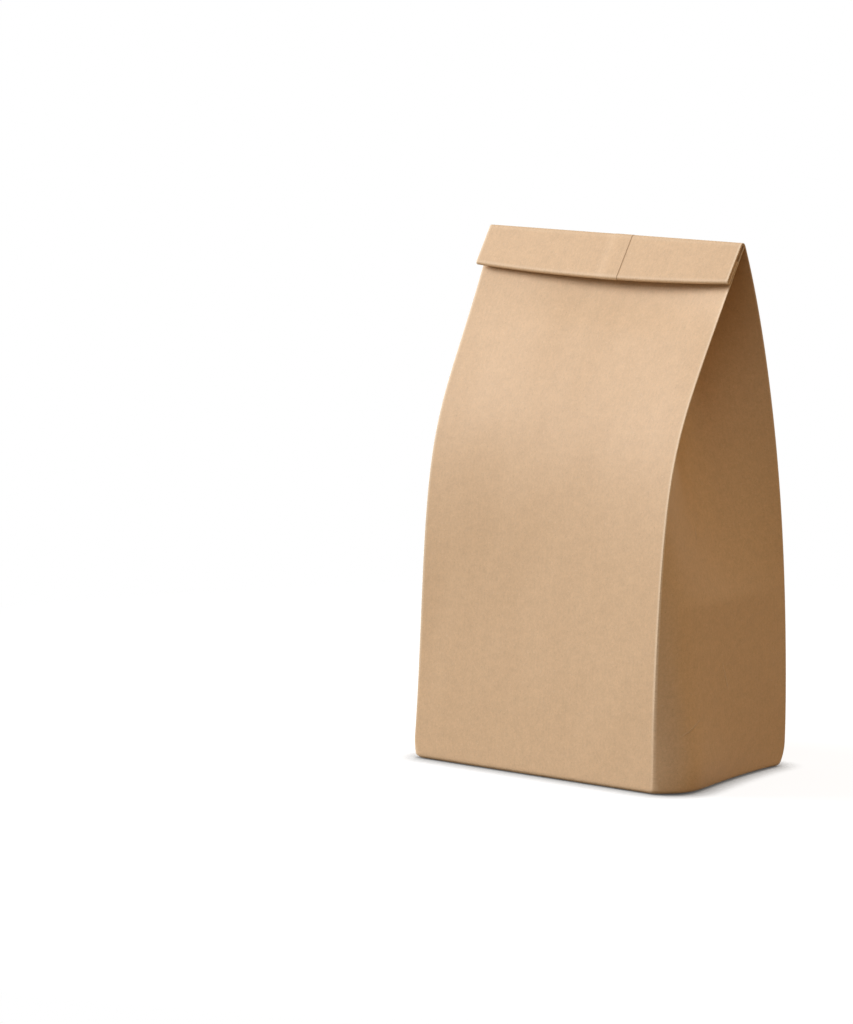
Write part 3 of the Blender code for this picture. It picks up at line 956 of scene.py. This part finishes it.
def floor_finish(light):
    """White to the camera, but for a thin shadow close round the bag, and a dim warm bounce for the bag."""
    material = bpy.data.materials.new("pale_floor")
    n = Nodes(material)
    bounce = n.add("ShaderNodeBsdfDiffuse", {"Color": (*light.bounce, 1.0)}).outputs[0]
    matt = n.add("ShaderNodeBsdfDiffuse", {"Color": (*light.floor, 1.0)}).outputs[0]
    open_sky = n.add("ShaderNodeAmbientOcclusion", {"Distance": SHADOW_REACH}, samples=2).outputs["AO"]
    lift = n.add("ShaderNodeEmission", {"Strength": n.levels(open_sky, 0.35, 0.9, 0.06, 0.905)}).outputs[0]
    near = n.add("ShaderNodeAddShader", {0: matt, 1: lift}).outputs[0]
    white = n.add("ShaderNodeEmission").outputs[0]
    place = n.add("ShaderNodeNewGeometry").outputs["Position"]
    away = n.add("ShaderNodeVectorMath", {0: place}, operation="LENGTH").outputs["Value"]
    far = n.levels(away, FLOOR_FADE_START, FLOOR_FADE_END)
    floor = n.add("ShaderNodeMixShader", {0: far, 1: near, 2: white}).outputs[0]
    shown = n.add("ShaderNodeMixShader", {0: seen_directly(n), 1: bounce, 2: floor})
    n.add("ShaderNodeOutputMaterial", {"Surface": shown.outputs[0]})
    return material


def studio_floor(light):
    shape = bmesh.new()
    bmesh.ops.create_grid(shape, x_segments=1, y_segments=1, size=FLOOR_HALF)
    mesh = bpy.data.meshes.new("studio_floor")
    shape.to_mesh(mesh)
    shape.free()
    floor = bpy.data.objects.new("studio_floor", mesh)
    bpy.context.scene.collection.objects.link(floor)
    floor.location = (0.0, 0.0, -FLOOR_DROP)
    mesh.materials.append(floor_finish(light))
    return floor


def studio_world(light):
    """A white room for the camera, and soft light that is cooler from the front and warm from the right."""
    world = bpy.data.worlds.new("studio")
    bpy.context.scene.world = world
    n = Nodes(world)
    way = n.add("ShaderNodeTexCoord").outputs["Generated"]
    towards = n.add("ShaderNodeVectorMath", {0: way, 1: OPEN_SIDE_WAY}, operation="DOT_PRODUCT")
    open_side = n.levels(towards.outputs["Value"], -0.5, 0.8)
    colour = n.mix(open_side, tuple(light.shade), tuple(light.daylight))
    room = n.add("ShaderNodeBackground", {"Color": colour, "Strength": light.sky}).outputs[0]
    white = n.add("ShaderNodeBackground", {"Color": (1.0, 1.0, 1.0, 1.0), "Strength": 1.0}).outputs[0]
    shown = n.add("ShaderNodeMixShader", {0: seen_directly(n), 1: room, 2: white})
    n.add("ShaderNodeOutputWorld", {"Surface": shown.outputs[0]})
    return world


def key_lamp(light):
    """A large soft lamp at the front left."""
    data = bpy.data.lights.new("key", "AREA")
    data.shape = "DISK"
    data.size = KEY_SIZE
    data.energy = light.key_power
    lamp = bpy.data.objects.new("key", data)
    lamp.location = KEY_PLACE
    lamp.rotation_euler = (Vector(KEY_TARGET) - Vector(KEY_PLACE)).to_track_quat("-Z", "Y").to_euler()
    bpy.context.scene.collection.objects.link(lamp)
    return lamp


def photo_camera():
    """A long lens, a little above the bag and to its right."""
    data = bpy.data.cameras.new("camera")
    data.sensor_fit = "HORIZONTAL"
    data.sensor_width = SENSOR_WIDTH
    data.lens = LENS
    camera = bpy.data.objects.new("camera", data)
    camera.location = CAMERA_PLACE
    camera.rotation_euler = (CAMERA_TILT, CAMERA_ROLL, CAMERA_TURN)
    bpy.context.scene.collection.objects.link(camera)
    bpy.context.scene.camera = camera
    return camera


class PAPERBAG_OT_folded_bag(bpy.types.Operator):
    """Build the folded bag in its kraft paper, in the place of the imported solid"""

    bl_idname = "paperbag.folded_bag"
    bl_label = "Folded Bag"
    bl_options = {"REGISTER", "UNDO"}

    def execute(self, context):
        bag = folded_bag(context.scene.bag_sizes)
        bag.data.materials.append(kraft_paper(context.scene.kraft_finish))
        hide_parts("paper_bag")
        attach(bag, "root")
        return {"FINISHED"}


class PAPERBAG_OT_studio(bpy.types.Operator):
    """Set the floor, the room's light, the lamp and the camera"""

    bl_idname = "paperbag.studio"
    bl_label = "Studio"
    bl_options = {"REGISTER", "UNDO"}

    def execute(self, context):
        light = context.scene.studio_light
        studio_floor(light)
        studio_world(light)
        key_lamp(light)
        photo_camera()
        context.scene.view_settings.view_transform = "Standard"
        return {"FINISHED"}


class PAPERBAG_PT_sidebar(bpy.types.Panel):
    """Sizes, finish and studio of the paper bag"""

    bl_idname = "PAPERBAG_PT_sidebar"
    bl_label = "Paper Bag"
    bl_space_type = "VIEW_3D"
    bl_region_type = "UI"
    bl_category = "Paper Bag"

    def draw(self, context):
        for title, group, button in (
            ("Sizes", context.scene.bag_sizes, None),
            ("Paper", context.scene.kraft_finish, PAPERBAG_OT_folded_bag.bl_idname),
            ("Studio", context.scene.studio_light, PAPERBAG_OT_studio.bl_idname),
        ):
            box = self.layout.box()
            box.label(text=title)
            for name in group.__annotations__:
                box.prop(group, name)
            if button:
                box.operator(button)


CLASSES = (
    BagSizes,
    KraftFinish,
    StudioLight,
    PAPERBAG_OT_folded_bag,
    PAPERBAG_OT_studio,
    PAPERBAG_PT_sidebar,
)


def register():
    for made in CLASSES:
        bpy.utils.register_class(made)
    bpy.types.Scene.bag_sizes = PointerProperty(type=BagSizes)
    bpy.types.Scene.kraft_finish = PointerProperty(type=KraftFinish)
    bpy.types.Scene.studio_light = PointerProperty(type=StudioLight)


def unregister():
    del bpy.types.Scene.studio_light
    del bpy.types.Scene.kraft_finish
    del bpy.types.Scene.bag_sizes
    for made in reversed(CLASSES):
        bpy.utils.unregister_class(made)


def main():
    register()
    bpy.ops.paperbag.folded_bag()
    bpy.ops.paperbag.studio()


if __name__ == "__main__":
    main()
